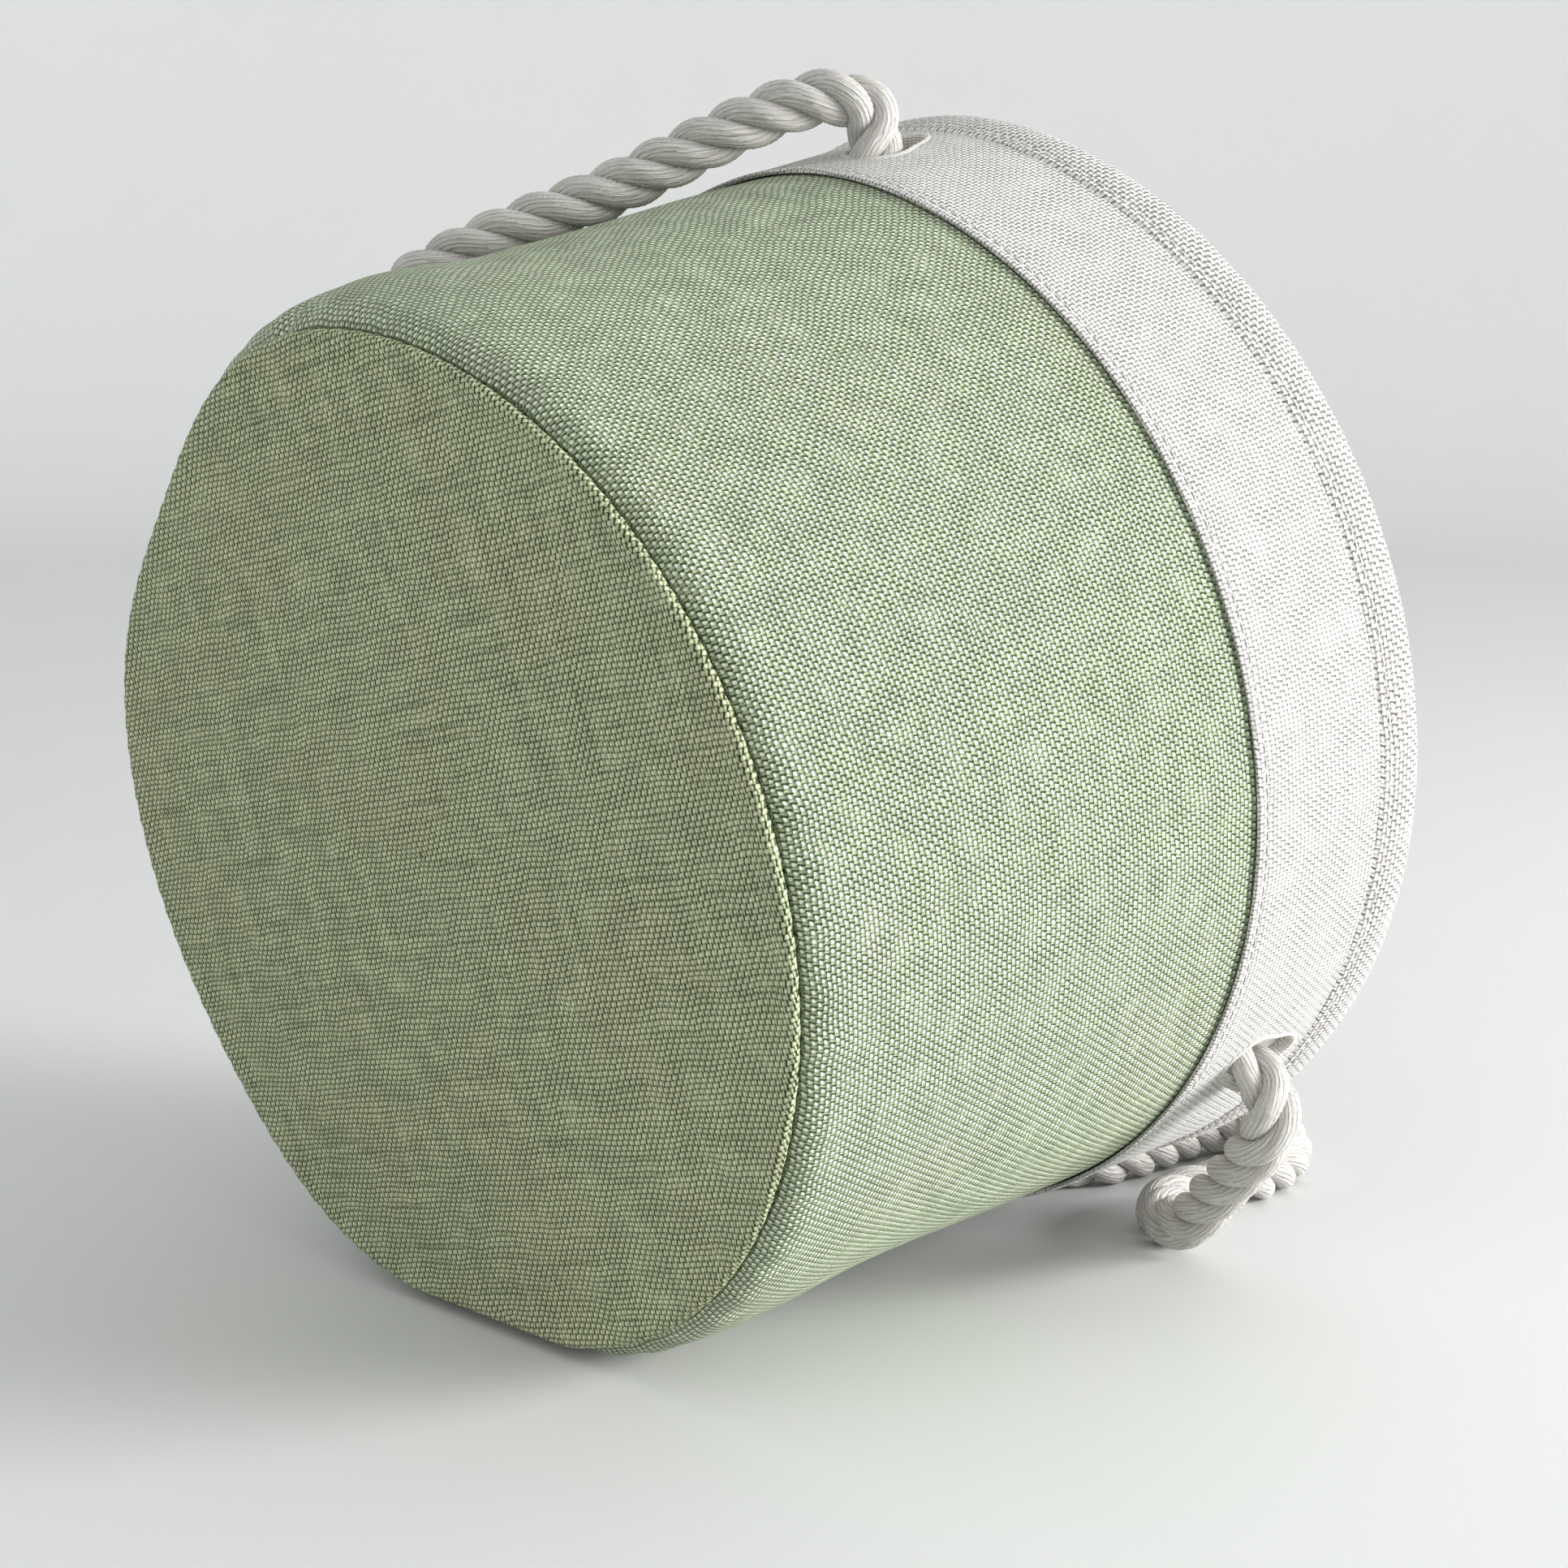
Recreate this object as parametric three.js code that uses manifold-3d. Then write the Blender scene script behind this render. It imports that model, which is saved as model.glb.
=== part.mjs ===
// Round fabric storage bin, lying on its side with its two rope handles loose.
// Millimetres, +Z up. The bin is drawn upright in its own frame (base at height 0, mouth at
// HEIGHT) and the whole group is then laid down, with the base towards -X and the mouth to +X.
// Angles run round the bin from its uppermost line, positive towards +Y.

import * as THREE from 'three';
import { mergeVertices } from 'three/addons/utils/BufferGeometryUtils.js';
import Module from 'manifold-3d';

const wasm = await Module();
wasm.setup();

// ---- driving dimensions ----

const BASE_RADIUS = 110;
const RIM_RADIUS = 124.5;
const HEIGHT = 168;

const CUFF_BOTTOM = 119;
const BINDING_BOTTOM = 156.5;
const LAYERS_TOP = 167.1;

const FABRIC = 0.9;
const BOARD = 1.6;
const LINING = 0.7;
const TAPE = 0.7;
const GAP = 0.3;
const THREAD = 0.4;

const ROPE_RADIUS = 6;
const ROPE_SIDES = 8;
const ROPE_STEP = 10;
const ROPE_FLOOR = 6.1;
const PIVOT_LIFT = 8;
const KNOT_RADIUS = 11.5;

const SLIT_HEIGHT = 138;
const SLIT_WIDTH = 13.2;
const SLIT_LENGTH = 20;
const WELT_WIDTH = 1.8;

const LEAN = THREE.MathUtils.degToRad(9.5);
const BASE_CENTRE_X = -83.7;
const SEGMENT = 6;
const SEAM_ANGLE = 12;
const HALF_GAP_ANGLE = 0.08;

// Depth of each layer's faces inside (negative) or outside the sage cloth's outer face.
const CLOTH_IN = -FABRIC;
const BOARD_OUT = CLOTH_IN - GAP;
const BOARD_IN = BOARD_OUT - BOARD;
const LINING_OUT = BOARD_IN - GAP;
const LINING_IN = LINING_OUT - LINING;
const CUFF_IN = GAP;
const CUFF_OUT = CUFF_IN + TAPE + 0.1;
const BINDING_OUT = CUFF_OUT + GAP + TAPE;
const BINDING_IN = LINING_IN - GAP - TAPE;

// Heights of the base layers.
const BASE_CLOTH_TOP = 1;
const WALL_BOTTOM = 2;
const BASE_BOARD_BOTTOM = BASE_CLOTH_TOP + GAP;
const BASE_BOARD_TOP = BASE_BOARD_BOTTOM + 2;
const LINING_BOTTOM = BASE_BOARD_TOP + GAP;
const BASE_LINING_TOP = LINING_BOTTOM + LINING;

// The soft wall's hollows (positive) and bulges (negative): where each is centred, how wide it
// is in degrees, how deep, and how it fades with height.
const fadeFromBase = (height) => Math.max(0, 1 - height / 110);
const growToRim = (height) => THREE.MathUtils.clamp((height - 60) / 85, 0, 1);
const bellyNearBase = (height) => Math.exp(-(((height - 20) / 22) ** 2));
const SOFT_SHAPE = [
  { angle: 48, width: 21, depth: 6, fade: fadeFromBase },
  { angle: 150, width: 19, depth: -4.5, fade: fadeFromBase },
  { angle: 25, width: 22, depth: 9.5, fade: growToRim },
  { angle: 12, width: 24, depth: -4, fade: bellyNearBase },
  { angle: -150, width: 30, depth: -2, fade: bellyNearBase },
];

// Radius of the flat that the bin lies on, at the base and at the rim.
const FLAT_AT_BASE = BASE_RADIUS - 1.7;
const FLAT_AT_RIM = RIM_RADIUS - 5.2;

// The four slits that the handles pass through, and how far each is pulled open lengthwise.
const SLITS = {
  upper_near: { angle: -7, length: SLIT_LENGTH, width: SLIT_WIDTH },
  upper_far: { angle: 47, length: SLIT_LENGTH, width: SLIT_WIDTH },
  lower_near: { angle: -128, length: SLIT_LENGTH, width: SLIT_WIDTH },
  lower_under: { angle: 178, length: 27, width: 14.4 },
};

// ---- materials ----

const material = (color, roughness = 0.9) =>
  new THREE.MeshStandardMaterial({ color, roughness, metalness: 0 });
const SAGE = material(0x8fa583);
const CREAM = material(0xe9e8e2);
const LINEN = material(0xdedcd3);
const GREYBOARD = material(0xb9b7b0);
const COTTON = material(0xd9d5cc, 0.95);

// ---- the wall's surface ----

// Smallest signed difference between two angles, in degrees.
function angleBetween(a, b) {
  return ((a - b + 540) % 360) - 180;
}

// Radius of the sage cloth's outer face at an angle in degrees and a height.
function wallRadius(angle, height) {
  const along = height / HEIGHT;
  let radius = BASE_RADIUS + (RIM_RADIUS - BASE_RADIUS) * along;
  for (const soft of SOFT_SHAPE) {
    const spread = angleBetween(angle, soft.angle) / soft.width;
    radius -= soft.depth * soft.fade(height) * Math.exp(-spread * spread);
  }
  const fromUnder = THREE.MathUtils.degToRad(angleBetween(angle, 180));
  const flat = FLAT_AT_BASE + (FLAT_AT_RIM - FLAT_AT_BASE) * along;
  if (Math.abs(fromUnder) > Math.PI / 3) return radius;
  return Math.min(radius, flat / Math.cos(fromUnder));
}

// Point at an angle, a lift off the sage cloth and a height, in the bin's own frame.
function wallPoint(angle, height, lift) {
  const radians = THREE.MathUtils.degToRad(angle);
  const radius = wallRadius(angle, height) + lift;
  return new THREE.Vector3(radius * Math.sin(radians), radius * Math.cos(radians), height);
}

// The frame that lays the bin down: its own X to row +Y, and its axis up by LEAN from row +X.
function layingMatrix() {
  const side = new THREE.Vector3(0, 1, 0);
  const top = new THREE.Vector3(-Math.sin(LEAN), 0, Math.cos(LEAN));
  const axis = new THREE.Vector3(Math.cos(LEAN), 0, Math.sin(LEAN));
  const matrix = new THREE.Matrix4().makeBasis(side, top, axis);
  return matrix.setPosition(BASE_CENTRE_X, 0, FLAT_AT_BASE * Math.cos(LEAN));
}
const LAYING = layingMatrix();
const STANDING = LAYING.clone().invert();

// ---- solids ----

function toSolid(geometry) {
  const bare = geometry.clone();
  bare.deleteAttribute('normal');
  bare.deleteAttribute('uv');
  const merged = mergeVertices(bare, 1e-4);
  const vertProperties = new Float32Array(merged.attributes.position.array);
  const triVerts = new Uint32Array(merged.index.array);
  return new wasm.Manifold(new wasm.Mesh({ numProp: 3, vertProperties, triVerts }));
}

function toGeometry(solid) {
  const mesh = solid.getMesh();
  const geometry = new THREE.BufferGeometry();
  geometry.setAttribute('position', new THREE.BufferAttribute(mesh.vertProperties, 3));
  geometry.setIndex(new THREE.BufferAttribute(mesh.triVerts, 1));
  geometry.computeVertexNormals();
  return geometry;
}

// The angles of a whole ring, and of the half ring that starts at a seam.
const steps = (from, sweep) => Array.from({ length: sweep / SEGMENT }, (_, k) => from + k * SEGMENT);
const WHOLE_RING = steps(0, 360);
function halfRing(seam) {
  const angles = [...steps(seam, 180), seam + 180];
  angles[0] += HALF_GAP_ANGLE;
  angles[angles.length - 1] -= HALF_GAP_ANGLE;
  return angles;
}

// A closed body whose section, a loop of [lift, height] points, runs round the wall through
// the given angles. A ring that isn't whole has flat ends.
function wallRing(section, angles = WHOLE_RING) {
  const whole = angles === WHOLE_RING;
  const positions = [];
  for (const angle of angles) {
    for (const [lift, height] of section) {
      positions.push(...wallPoint(angle, height, lift).toArray());
    }
  }
  const rows = angles.length;
  const count = section.length;
  const index = [];
  for (let row = 0; row < (whole ? rows : rows - 1); row++) {
    const here = row * count;
    const next = ((row + 1) % rows) * count;
    for (let k = 0; k < count; k++) {
      const after = (k + 1) % count;
      const [a, b, c, d] = [here + k, next + k, next + after, here + after];
      // Faces that run up and faces that run down are split along the same diagonal, so that
      // two layers stay a constant gap apart.
      if (section[after][1] < section[k][1]) index.push(a, b, d, b, c, d);
      else index.push(a, b, c, a, c, d);
    }
  }
  if (!whole) {
    const outline = section.map(([lift, height]) => new THREE.Vector2(lift, height));
    const last = (rows - 1) * count;
    for (const [a, b, c] of THREE.ShapeUtils.triangulateShape(outline, [])) {
      index.push(a, b, c);
      index.push(last + a, last + c, last + b);
    }
  }
  const geometry = new THREE.BufferGeometry();
  geometry.setAttribute('position', new THREE.Float32BufferAttribute(positions, 3));
  geometry.setIndex(index);
  return outward(geometry);
}

// Turns every face over if the body came out inside out.
function outward(geometry) {
  const place = geometry.attributes.position;
  const index = geometry.index;
  const [a, b, c] = [new THREE.Vector3(), new THREE.Vector3(), new THREE.Vector3()];
  let volume = 0;
  for (let k = 0; k < index.count; k += 3) {
    a.fromBufferAttribute(place, index.getX(k));
    b.fromBufferAttribute(place, index.getX(k + 1));
    c.fromBufferAttribute(place, index.getX(k + 2));
    volume += a.dot(b.cross(c));
  }
  if (volume < 0) {
    for (let k = 0; k < index.count; k += 3) {
      const second = index.getX(k + 1);
      index.setX(k + 1, index.getX(k + 2));
      index.setX(k + 2, second);
    }
  }
  geometry.computeVertexNormals();
  return geometry;
}

// Section of a layer: its outer face up and its inner face down, at the given heights.
function layerSection(inner, outer, heights) {
  const up = heights.map((height) => [outer, height]);
  const down = [...heights].reverse().map((height) => [inner, height]);
  return [...up, ...down];
}

// A flat disc that follows the wall's outline, set in from the sage cloth's face.
function disc(bottom, top, inset) {
  const positions = [0, 0, bottom, 0, 0, top];
  const steps = 360 / SEGMENT;
  for (let step = 0; step < steps; step++) {
    const edge = wallPoint(step * SEGMENT, bottom, -inset);
    positions.push(edge.x, edge.y, bottom, edge.x, edge.y, top);
  }
  const index = [];
  for (let step = 0; step < steps; step++) {
    const low = 2 + step * 2;
    const nextLow = 2 + ((step + 1) % steps) * 2;
    index.push(0, nextLow, low, 1, low + 1, nextLow + 1);
    index.push(low, nextLow, nextLow + 1, low, nextLow + 1, low + 1);
  }
  const geometry = new THREE.BufferGeometry();
  geometry.setAttribute('position', new THREE.Float32BufferAttribute(positions, 3));
  geometry.setIndex(index);
  return outward(geometry);
}

// Outline of a slit: a stadium, long along the bin's height.
function stadium(width, length) {
  const radius = width / 2;
  const reach = length / 2 - radius;
  const shape = new THREE.Shape();
  shape.absarc(0, reach, radius, 0, Math.PI, false);
  shape.absarc(0, -reach, radius, Math.PI, 2 * Math.PI, false);
  return shape;
}

// Frame that stands on the wall at a slit: X round the bin, Y up its height, Z straight out.
function slitFrame(angle, lift) {
  const radians = THREE.MathUtils.degToRad(angle);
  const out = new THREE.Vector3(Math.sin(radians), Math.cos(radians), 0);
  const up = new THREE.Vector3(0, 0, 1);
  const across = new THREE.Vector3().crossVectors(up, out);
  const matrix = new THREE.Matrix4().makeBasis(across, up, out);
  return matrix.setPosition(wallPoint(angle, SLIT_HEIGHT, lift));
}

const CURVE_STEPS = { curveSegments: 4, bevelEnabled: false };

function slitCutter({ angle, width, length }) {
  const depth = 24;
  const geometry = new THREE.ExtrudeGeometry(stadium(width, length), { depth, ...CURVE_STEPS });
  return toSolid(geometry.applyMatrix4(slitFrame(angle, -depth / 2)));
}

function cutSlits(geometry) {
  let solid = toSolid(geometry);
  for (const slit of Object.values(SLITS)) solid = solid.subtract(slitCutter(slit));
  return toGeometry(solid);
}

// The narrow folded edging sewn round a slit: a flat ring bent to lie on the cuff's outer face.
function slitWelt({ angle, width, length }) {
  const shape = stadium(width + 2 * WELT_WIDTH, length + 2 * WELT_WIDTH);
  shape.holes.push(stadium(width, length));
  const geometry = new THREE.ExtrudeGeometry(shape, { depth: TAPE, ...CURVE_STEPS });
  const radius = wallRadius(angle, SLIT_HEIGHT);
  const place = geometry.attributes.position;
  for (let k = 0; k < place.count; k++) {
    const turn = angle - THREE.MathUtils.radToDeg(place.getX(k) / radius);
    const bent = wallPoint(turn, SLIT_HEIGHT + place.getY(k), CUFF_OUT + GAP + 0.1 + place.getZ(k));
    place.setXYZ(k, bent.x, bent.y, bent.z);
  }
  return geometry;
}

// ---- ropes ----

function ropeTube(points) {
  const curve = new THREE.CatmullRomCurve3(points, false, 'centripetal');
  const shape = new THREE.Shape();
  for (let side = 0; side <= ROPE_SIDES; side++) {
    const turn = (side / ROPE_SIDES) * 2 * Math.PI;
    const [x, y] = [ROPE_RADIUS * Math.cos(turn), ROPE_RADIUS * Math.sin(turn)];
    if (side === 0) shape.moveTo(x, y);
    else if (side < ROPE_SIDES) shape.lineTo(x, y);
  }
  const steps = Math.max(2, Math.round(curve.getLength() / ROPE_STEP));
  return new THREE.ExtrudeGeometry(shape, { steps, extrudePath: curve, bevelEnabled: false });
}

// A rope with a round end at each end point, where it bends as the handle swings.
function ropeWithRoundEnds(points) {
  let solid = toSolid(ropeTube(points));
  for (const end of [points[0], points.at(-1)]) {
    const ball = new THREE.SphereGeometry(ROPE_RADIUS, ROPE_SIDES, 6);
    ball.translate(end.x, end.y, end.z);
    solid = solid.add(toSolid(ball));
  }
  return toGeometry(solid);
}

// Short straight rope through a slit, from its knot inside to just under the handle's pivot.
function ropeThroughSlit(angle) {
  const inside = wallPoint(angle, SLIT_HEIGHT, LINING_IN - GAP - 1);
  const outside = wallPoint(angle, SLIT_HEIGHT, PIVOT_LIFT - ROPE_RADIUS - 0.4);
  return ropeTube([inside, inside.clone().lerp(outside, 0.5), outside]);
}

// Stopper knot: a round lump with the rope's short cut tail below it, closed on its axis.
function stopperKnot() {
  const profile = [new THREE.Vector2(0, 0)];
  for (let step = 1; step <= 5; step++) {
    const turn = (step / 6) * Math.PI;
    profile.push(new THREE.Vector2(KNOT_RADIUS * Math.sin(turn), 10.5 * (1 - Math.cos(turn))));
  }
  profile.push(new THREE.Vector2(ROPE_RADIUS, 21), new THREE.Vector2(ROPE_RADIUS, 33));
  profile.push(new THREE.Vector2(0, 33));
  return new THREE.LatheGeometry(profile, 10);
}

// A knot hangs inward from a slit; the lathe's axis turns to point into the bin.
function placedKnot(angle, lift) {
  const geometry = stopperKnot();
  geometry.rotateX(-Math.PI / 2);
  return geometry.applyMatrix4(slitFrame(angle, lift));
}

const KNOT_LIFT = LINING_IN - GAP - 1.4;

// Upper handle at rest: out of one slit, over on the wall towards the base and back to the
// other. Each stop is an angle, a height and a lift off the cloth.
const UPPER_ROUTE = [
  [-7, 138, PIVOT_LIFT], [-6, 136, 12], [-3, 129, 14.5], [2, 119, 12.5], [8, 109, 9.5],
  [14, 98, 7.4], [19, 86, 6.9], [24.5, 74, 6.9], [31, 64, 6.9], [38, 60, 6.9],
  [45, 63, 6.9], [50, 72, 6.9], [52.5, 84, 6.9], [53, 97, 7.2], [52, 110, 9.3],
  [50, 122, 12.5], [48, 131, 14.5], [47.2, 136, 12], [47, 138, PIVOT_LIFT],
];

// Lower handle at rest, in the row's frame: down from its slit to the floor, out past the
// mouth in a bend, and back to where the rim holds it down.
const LOWER_ROUTE = [
  [64.5, -104.5, 44], [65.3, -101.5, 37.5], [68, -95, 31], [70.8, -88, 24.5], [73.6, -81, 18],
  [76.4, -74, 11.2], [80.4, -65, 7], [86.4, -56.5, ROPE_FLOOR], [95.4, -51, ROPE_FLOOR],
  [107.4, -50.5, ROPE_FLOOR], [120.4, -53, ROPE_FLOOR], [134.4, -52, ROPE_FLOOR],
  [147.4, -46, ROPE_FLOOR], [156.4, -36, ROPE_FLOOR], [155.4, -25, ROPE_FLOOR],
  [146.4, -20, ROPE_FLOOR], [136.4, -20, ROPE_FLOOR],
];
const LOWER_HELD_END = [125.4, -21, ROPE_FLOOR];

// The stretch that the bin lies on: from the held end under the rim, and up through the
// lower slit to its knot.
const UNDER_ROUTE = [
  [118.7, -21, ROPE_FLOOR], [110.4, -20, ROPE_FLOOR], [102.9, -16, ROPE_FLOOR],
  [96.4, -9.5, ROPE_FLOOR], [90.4, -3, ROPE_FLOOR], [84.4, 1.5, 6.6], [78.4, 3.6, 9.4],
  [73.6, 4.1, 14], [71, 4.2, 20],
];

const rowPoint = ([x, y, z]) => new THREE.Vector3(x, y, z).applyMatrix4(STANDING);

function upperHandle() {
  return ropeWithRoundEnds(UPPER_ROUTE.map((stop) => wallPoint(...stop)));
}

function lowerHandle() {
  const start = wallPoint(SLITS.lower_near.angle, SLIT_HEIGHT, PIVOT_LIFT);
  const end = rowPoint(LOWER_HELD_END);
  return ropeWithRoundEnds([start, ...LOWER_ROUTE.map(rowPoint), end]);
}

// ---- layer heights ----

const WALL_STEPS = [WALL_BOTTOM, 20, 42, 66, CUFF_BOTTOM, 145, LAYERS_TOP];
const LINING_STEPS = [LINING_BOTTOM, ...WALL_STEPS.slice(1)];
const CUFF_STEPS = [CUFF_BOTTOM, 145, LAYERS_TOP];

function wallCloth(seam) {
  return cutSlits(wallRing(layerSection(CLOTH_IN, 0, WALL_STEPS), halfRing(seam)));
}

function threadRing(lift, height) {
  const half = THREAD / 2;
  return wallRing(layerSection(lift, lift + THREAD, [height - half, height + half]));
}

// Tape folded over the rim: down the outside, and down the inside a little further.
function rimBinding() {
  const top = LAYERS_TOP + GAP + TAPE;
  return wallRing([
    [BINDING_OUT, BINDING_BOTTOM], [BINDING_OUT, top], [BINDING_IN, top],
    [BINDING_IN, BINDING_BOTTOM - 1], [BINDING_IN + TAPE, BINDING_BOTTOM - 1],
    [BINDING_IN + TAPE, top - TAPE], [BINDING_OUT - TAPE, top - TAPE],
    [BINDING_OUT - TAPE, BINDING_BOTTOM],
  ]);
}

// ---- assembly ----

const bin = new THREE.Group();
bin.applyMatrix4(LAYING);

function add(name, geometry, look) {
  const mesh = new THREE.Mesh(geometry, look);
  mesh.name = name;
  bin.add(mesh);
}

add('wall_fabric_near', wallCloth(SEAM_ANGLE + 180), SAGE.clone());
add('wall_fabric_far', wallCloth(SEAM_ANGLE), SAGE.clone());
add('base_fabric', disc(0, BASE_CLOTH_TOP, 0), SAGE.clone());
add('base_seam_thread', threadRing(-1.5, (BASE_CLOTH_TOP + WALL_BOTTOM) / 2), SAGE.clone());
add('wall_board', cutSlits(wallRing(layerSection(BOARD_IN, BOARD_OUT, WALL_STEPS))), GREYBOARD.clone());
add('base_board', disc(BASE_BOARD_BOTTOM, BASE_BOARD_TOP, -BOARD_IN + GAP), GREYBOARD.clone());
add('lining_wall', cutSlits(wallRing(layerSection(LINING_IN, LINING_OUT, LINING_STEPS))), LINEN.clone());
add('lining_base', disc(LINING_BOTTOM, BASE_LINING_TOP, -LINING_IN + GAP), LINEN.clone());
add('cuff_band', cutSlits(wallRing(layerSection(CUFF_IN, CUFF_OUT, CUFF_STEPS))), CREAM.clone());
add('cuff_thread', threadRing(CUFF_OUT + GAP, CUFF_BOTTOM + 2.6), CREAM.clone());
add('rim_binding', rimBinding(), CREAM.clone());
add('rim_thread', threadRing(BINDING_OUT + GAP, BINDING_BOTTOM + 1.6), CREAM.clone());

for (const [place, slit] of Object.entries(SLITS)) {
  add(`slit_edging_${place}`, slitWelt(slit), CREAM.clone());
}

for (const place of ['upper_near', 'upper_far', 'lower_near']) {
  add(`rope_end_${place}`, ropeThroughSlit(SLITS[place].angle), COTTON.clone());
  add(`knot_${place}`, placedKnot(SLITS[place].angle, KNOT_LIFT), COTTON.clone());
}
add('rope_run_lower_under', ropeTube(UNDER_ROUTE.map(rowPoint)), COTTON.clone());
add('knot_lower_under', placedKnot(SLITS.lower_under.angle, KNOT_LIFT - 3), COTTON.clone());
add('rope_handle_upper', upperHandle(), COTTON.clone());
add('rope_handle_lower', lowerHandle(), COTTON.clone());

export default bin;
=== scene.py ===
import math

import bpy
import numpy as np
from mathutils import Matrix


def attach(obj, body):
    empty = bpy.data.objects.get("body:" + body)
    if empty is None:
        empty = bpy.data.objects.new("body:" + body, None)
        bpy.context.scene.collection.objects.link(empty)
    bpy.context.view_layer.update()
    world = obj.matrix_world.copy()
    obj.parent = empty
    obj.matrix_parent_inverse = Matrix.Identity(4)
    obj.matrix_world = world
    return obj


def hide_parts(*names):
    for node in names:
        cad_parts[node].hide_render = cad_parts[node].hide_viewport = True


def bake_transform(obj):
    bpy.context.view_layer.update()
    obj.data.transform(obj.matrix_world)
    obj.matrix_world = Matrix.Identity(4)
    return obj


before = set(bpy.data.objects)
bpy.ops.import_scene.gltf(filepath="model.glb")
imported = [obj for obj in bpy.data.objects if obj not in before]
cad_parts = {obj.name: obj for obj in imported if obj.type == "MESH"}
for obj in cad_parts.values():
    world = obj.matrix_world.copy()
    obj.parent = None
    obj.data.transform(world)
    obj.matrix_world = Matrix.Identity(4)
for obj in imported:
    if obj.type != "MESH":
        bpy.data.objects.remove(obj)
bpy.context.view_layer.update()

# Round fabric storage bin lying on its side, with its two rope handles loose. Metres.
# Angles run round the bin in degrees from its uppermost line, positive towards +Y, and
# heights run from its base to its mouth. A lift is a distance out from the sage cloth's face.

# ---- camera ----

camera_data = bpy.data.cameras.new("camera")
camera_data.lens = 74.71
camera_data.sensor_width = 36
camera = bpy.data.objects.new("camera", camera_data)
camera.location = (-0.4820, -0.5197, 0.2408)
camera.rotation_euler = (math.radians(79.64), 0, math.radians(-43.92))
bpy.context.scene.collection.objects.link(camera)
bpy.context.scene.camera = camera
bpy.context.scene.view_settings.view_transform = "Standard"

# ---- the bin's shape, as in the part ----

BASE_RADIUS = 0.110
RIM_RADIUS = 0.1245
HEIGHT = 0.168
SLIT_HEIGHT = 0.138
PIVOT_LIFT = 0.008
ROPE_FLOOR = 0.0061
SEAM_ANGLE = 12
LEAN = math.radians(9.5)
FLAT_AT_BASE = BASE_RADIUS - 0.0017
FLAT_AT_RIM = RIM_RADIUS - 0.0052

SIDE = np.array([0, 1, 0])
TOP = np.array([-math.sin(LEAN), 0, math.cos(LEAN)])
AXIS = np.array([math.cos(LEAN), 0, math.sin(LEAN)])
BASE_CENTRE = np.array([-0.0837, 0, FLAT_AT_BASE * math.cos(LEAN)])


def fade_from_base(height):
    return np.maximum(0, 1 - height / 0.110)


def grow_to_rim(height):
    return np.clip((height - 0.060) / 0.085, 0, 1)


def belly_near_base(height):
    return np.exp(-(((height - 0.020) / 0.022) ** 2))


# Hollows (positive) and bulges of the soft wall: angle, width, depth, fade with height.
SOFT_SHAPE = [
    (48, 21, 0.006, fade_from_base),
    (150, 19, -0.0045, fade_from_base),
    (25, 22, 0.0095, grow_to_rim),
    (12, 24, -0.004, belly_near_base),
    (-150, 30, -0.002, belly_near_base),
]
CREASE = 0.0003

SLITS = {"upper_near": -7, "upper_far": 47, "lower_near": -128, "lower_under": 178}


def angle_between(a, b):
    return (a - b + 540) % 360 - 180


def wall_radius(angle, height):
    """Radius of the sage cloth's outer face, with the edge of the flat it lies on eased."""
    along = height / HEIGHT
    radius = BASE_RADIUS + (RIM_RADIUS - BASE_RADIUS) * along
    for centre, width, depth, fade in SOFT_SHAPE:
        spread = angle_between(angle, centre) / width
        radius = radius - depth * fade(height) * np.exp(-spread * spread)
    from_under = np.radians(np.clip(angle_between(angle, 180), -60, 60))
    lying = (FLAT_AT_BASE + (FLAT_AT_RIM - FLAT_AT_BASE) * along) / np.cos(from_under)
    return np.minimum(radius, lying) - CREASE * np.log1p(np.exp(-np.abs(radius - lying) / CREASE))


def place(angle, height, lift):
    """Points in the row frame from angles, heights and lifts."""
    angle, height, lift = np.broadcast_arrays(*(np.asarray(a, float) for a in (angle, height, lift)))
    turn = np.radians(angle)[..., None]
    radius = (wall_radius(angle, height) + lift)[..., None]
    round_bin = radius * (np.sin(turn) * SIDE + np.cos(turn) * TOP)
    return BASE_CENTRE + round_bin + height[..., None] * AXIS


def at_slit(slit, across, up, out):
    """Points in the row frame from distances round, up and out from the middle of a slit."""
    turn = math.radians(SLITS[slit])
    outward = math.sin(turn) * SIDE + math.cos(turn) * TOP
    around = math.cos(turn) * SIDE - math.sin(turn) * TOP
    across, up, out = (np.asarray(a, float)[..., None] for a in (across, up, out))
    return place(SLITS[slit], SLIT_HEIGHT, 0) + across * around + up * AXIS + out * outward


# ---- lines and meshes ----


def spaced(line, step):
    """The line's points again, evenly spaced at about the given step."""
    travel = np.concatenate([[0], np.cumsum(np.linalg.norm(np.diff(line, axis=0), axis=1))])
    count = max(2, int(round(travel[-1] / step)) + 1)
    wanted = np.linspace(0, travel[-1], count)
    return np.stack([np.interp(wanted, travel, line[:, k]) for k in range(3)], axis=1)


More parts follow.
